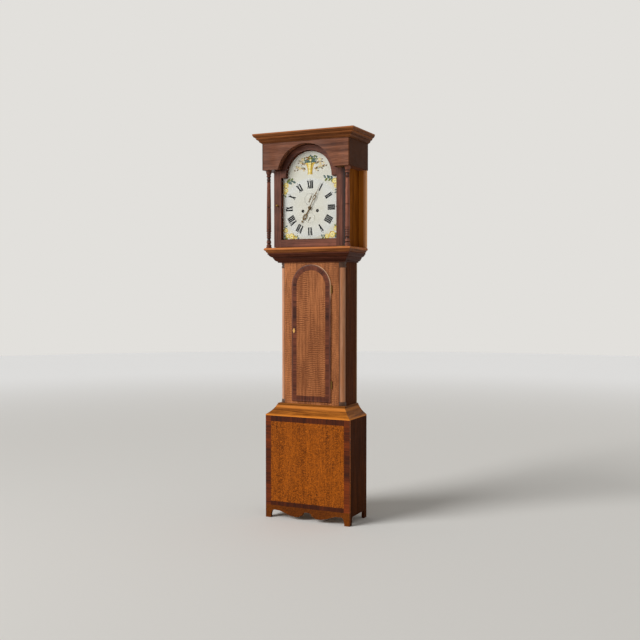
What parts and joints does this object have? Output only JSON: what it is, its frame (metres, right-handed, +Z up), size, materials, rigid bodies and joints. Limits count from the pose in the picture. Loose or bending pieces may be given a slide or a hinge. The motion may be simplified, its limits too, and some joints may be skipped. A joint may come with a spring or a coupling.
{
  "type": "longcase clock",
  "caption": "Tall weight-driven longcase clock: flat-topped sliding hood, arched painted dial, arched trunk door between quarter columns, panelled base on shaped feet, long pendulum.",
  "frame": {"origin": "on the floor under the middle of the clock's overall box", "axes": "+Z up, -Y towards the front, +X to the viewer's right"},
  "size_m": [0.606, 0.301, 2.13],
  "materials": {
    "oak": "polished oak",
    "golden_oak": "polished quartered oak",
    "mahogany": "polished mahogany",
    "deal": "plain softwood",
    "brass": "polished",
    "steel": "bright",
    "iron": "dull",
    "dial": "aged cream paint",
    "glass": "clear",
    "gut": "natural gut",
    "bell_metal": "dull"
  },
  "bodies": {
    "case": {"base_front_panel": "golden_oak", "base_crossbanding": "mahogany", "base_apron": "oak", "base_sides": "oak", "base_floor": "deal", "backboard": "deal", "trunk_sides": "oak", "trunk_front_frame": "oak", "quarter_columns": "oak", "seatboard": "deal", "shoulder_moulding": "oak", "throat_moulding": "mahogany", "trunk_hinge_leaves": "brass", "dial_plate": "dial", "movement_front_plate": "brass", "movement_back_plate": "brass", "movement_pillars": "brass", "back_cock": "brass", "bell": "bell_metal"},
    "hood": {"hood_base_moulding": "golden_oak", "hood_sides": "oak", "hood_frieze": "mahogany", "hood_cornice": "mahogany", "hood_top_board": "deal", "hood_mask": "deal", "hood_columns": "mahogany"},
    "hood_door": {"hood_door_frame": "mahogany", "hood_door_glass": "glass", "hood_door_knob": "brass", "hood_door_pivots": "brass"},
    "trunk_door": {"trunk_door_panel": "oak", "trunk_door_crossbanding": "mahogany", "trunk_door_lip": "mahogany", "trunk_door_escutcheon": "brass", "trunk_door_lock": "iron", "trunk_door_hinges": "brass"},
    "escape_arbor": {"escape_wheel": "brass", "seconds_hand": "brass"},
    "third_arbor": {"third_wheel": "brass"},
    "centre_arbor": {"centre_wheel": "brass", "minute_hand": "brass"},
    "minute_stud": {"minute_wheel": "brass"},
    "hour_pipe": {"hour_wheel": "brass", "hour_hand": "brass"},
    "calendar_pointer": {"calendar_hand": "brass"},
    "going_great": {"going_great_wheel": "brass"},
    "going_drum": {"going_barrel": "brass"},
    "pin_arbor": {"pin_wheel": "brass"},
    "strike_great": {"strike_great_wheel": "brass"},
    "strike_drum": {"strike_barrel": "brass"},
    "hammer_arbor": {"hammer": "steel"},
    "anchor_arbor": {"anchor": "steel"},
    "pendulum": {"pendulum_rod": "steel", "pendulum_bob": "brass"},
    "going_drive": {"going_weight": "iron", "going_line": "gut"},
    "going_sheave": {"going_pulley": "brass"},
    "strike_drive": {"strike_weight": "iron", "strike_line": "gut"},
    "strike_sheave": {"strike_pulley": "brass"}
  },
  "joints": [
    {"name": "hood_slide", "type": "slide", "parent": "case", "child": "hood", "axis": [0, -1, 0], "range_m": [0, 0.3]},
    {"name": "hood_door_swing", "type": "hinge", "parent": "hood", "child": "hood_door", "pos_m": [0.22, -0.0895, 1.72], "axis": [0, 0, 1], "range_deg": [0, 100]},
    {"name": "trunk_door_swing", "type": "hinge", "parent": "case", "child": "trunk_door", "pos_m": [0.1235, -0.0333, 1], "axis": [0, 0, 1], "range_deg": [0, 110]},
    {"name": "seconds_turn", "type": "hinge", "parent": "case", "child": "escape_arbor", "pos_m": [0, 0.0295, 1.77], "axis": [0, 1, 0], "continuous": true},
    {"name": "third_turn", "type": "hinge", "parent": "case", "child": "third_arbor", "pos_m": [0.0124, 0.0295, 1.7481], "axis": [0, 1, 0], "continuous": true},
    {"name": "minute_turn", "type": "hinge", "parent": "case", "child": "centre_arbor", "pos_m": [0, 0.0295, 1.722], "axis": [0, 1, 0], "continuous": true},
    {"name": "minute_wheel_turn", "type": "hinge", "parent": "case", "child": "minute_stud", "pos_m": [-0.021, -0.0095, 1.743], "axis": [0, 1, 0], "continuous": true},
    {"name": "hour_turn", "type": "hinge", "parent": "case", "child": "hour_pipe", "pos_m": [0, -0.0295, 1.722], "axis": [0, 1, 0], "continuous": true},
    {"name": "calendar_turn", "type": "hinge", "parent": "case", "child": "calendar_pointer", "pos_m": [0, -0.0425, 1.668], "axis": [0, 1, 0], "continuous": true},
    {"name": "going_great_turn", "type": "hinge", "parent": "case", "child": "going_great", "pos_m": [0.044, 0.0295, 1.706], "axis": [0, 1, 0], "continuous": true},
    {"name": "going_winding", "type": "hinge", "parent": "going_great", "child": "going_drum", "pos_m": [0.044, 0.0295, 1.706], "axis": [0, 1, 0], "range_deg": [-3500, 1400]},
    {"name": "pin_wheel_turn", "type": "hinge", "parent": "case", "child": "pin_arbor", "pos_m": [-0.051, 0.0295, 1.7474], "axis": [0, 1, 0], "continuous": true},
    {"name": "strike_great_turn", "type": "hinge", "parent": "case", "child": "strike_great", "pos_m": [-0.044, 0.0295, 1.706], "axis": [0, 1, 0], "continuous": true},
    {"name": "strike_winding", "type": "hinge", "parent": "strike_great", "child": "strike_drum", "pos_m": [-0.044, 0.0295, 1.706], "axis": [0, 1, 0], "range_deg": [-3500, 1400]},
    {"name": "hammer_lift", "type": "hinge", "parent": "case", "child": "hammer_arbor", "pos_m": [-0.058, 0.0295, 1.797], "axis": [0, 1, 0], "range_deg": [-15, 0], "stiffness_Nm_per_rad": 0.4, "springref_deg": 2.86},
    {"name": "pendulum_swing", "type": "hinge", "parent": "case", "child": "pendulum", "pos_m": [0, 0.0905, 1.801], "axis": [0, 1, 0], "range_deg": [-2.5, 2.5]},
    {"name": "anchor_rock", "type": "hinge", "parent": "case", "child": "anchor_arbor", "pos_m": [0, 0.0295, 1.801], "axis": [0, 1, 0], "range_deg": [-2.5, 2.5]},
    {"name": "going_weight_fall", "type": "slide", "parent": "case", "child": "going_drive", "axis": [0, 0, 1], "range_m": [-0.75, 0.3], "deforming": ["going_line"]},
    {"name": "going_sheave_turn", "type": "hinge", "parent": "going_drive", "child": "going_sheave", "pos_m": [0.044, 0.0295, 1.25], "axis": [0, 1, 0], "range_deg": [-1750, 700]},
    {"name": "strike_weight_fall", "type": "slide", "parent": "case", "child": "strike_drive", "axis": [0, 0, 1], "range_m": [-0.75, 0.3], "deforming": ["strike_line"]},
    {"name": "strike_sheave_turn", "type": "hinge", "parent": "strike_drive", "child": "strike_sheave", "pos_m": [-0.044, 0.0295, 1.25], "axis": [0, 1, 0], "range_deg": [-1750, 700]}
  ],
  "couplings": [
    {"joint": "seconds_turn", "follows": "minute_turn", "ratio": 60},
    {"joint": "third_turn", "follows": "minute_turn", "ratio": -7.5},
    {"joint": "minute_wheel_turn", "follows": "minute_turn", "ratio": -0.33333},
    {"joint": "hour_turn", "follows": "minute_turn", "ratio": 0.083333},
    {"joint": "calendar_turn", "follows": "minute_turn", "ratio": 0.0013441},
    {"joint": "going_great_turn", "follows": "minute_turn", "ratio": -0.083333},
    {"joint": "strike_great_turn", "follows": "pin_wheel_turn", "ratio": -0.095238},
    {"joint": "anchor_rock", "follows": "pendulum_swing", "ratio": 1},
    {"joint": "going_winding", "follows": "going_weight_fall", "rad_per_m": 80},
    {"joint": "going_sheave_turn", "follows": "going_weight_fall", "rad_per_m": 40},
    {"joint": "strike_winding", "follows": "strike_weight_fall", "rad_per_m": 80},
    {"joint": "strike_sheave_turn", "follows": "strike_weight_fall", "rad_per_m": 40}
  ]
}
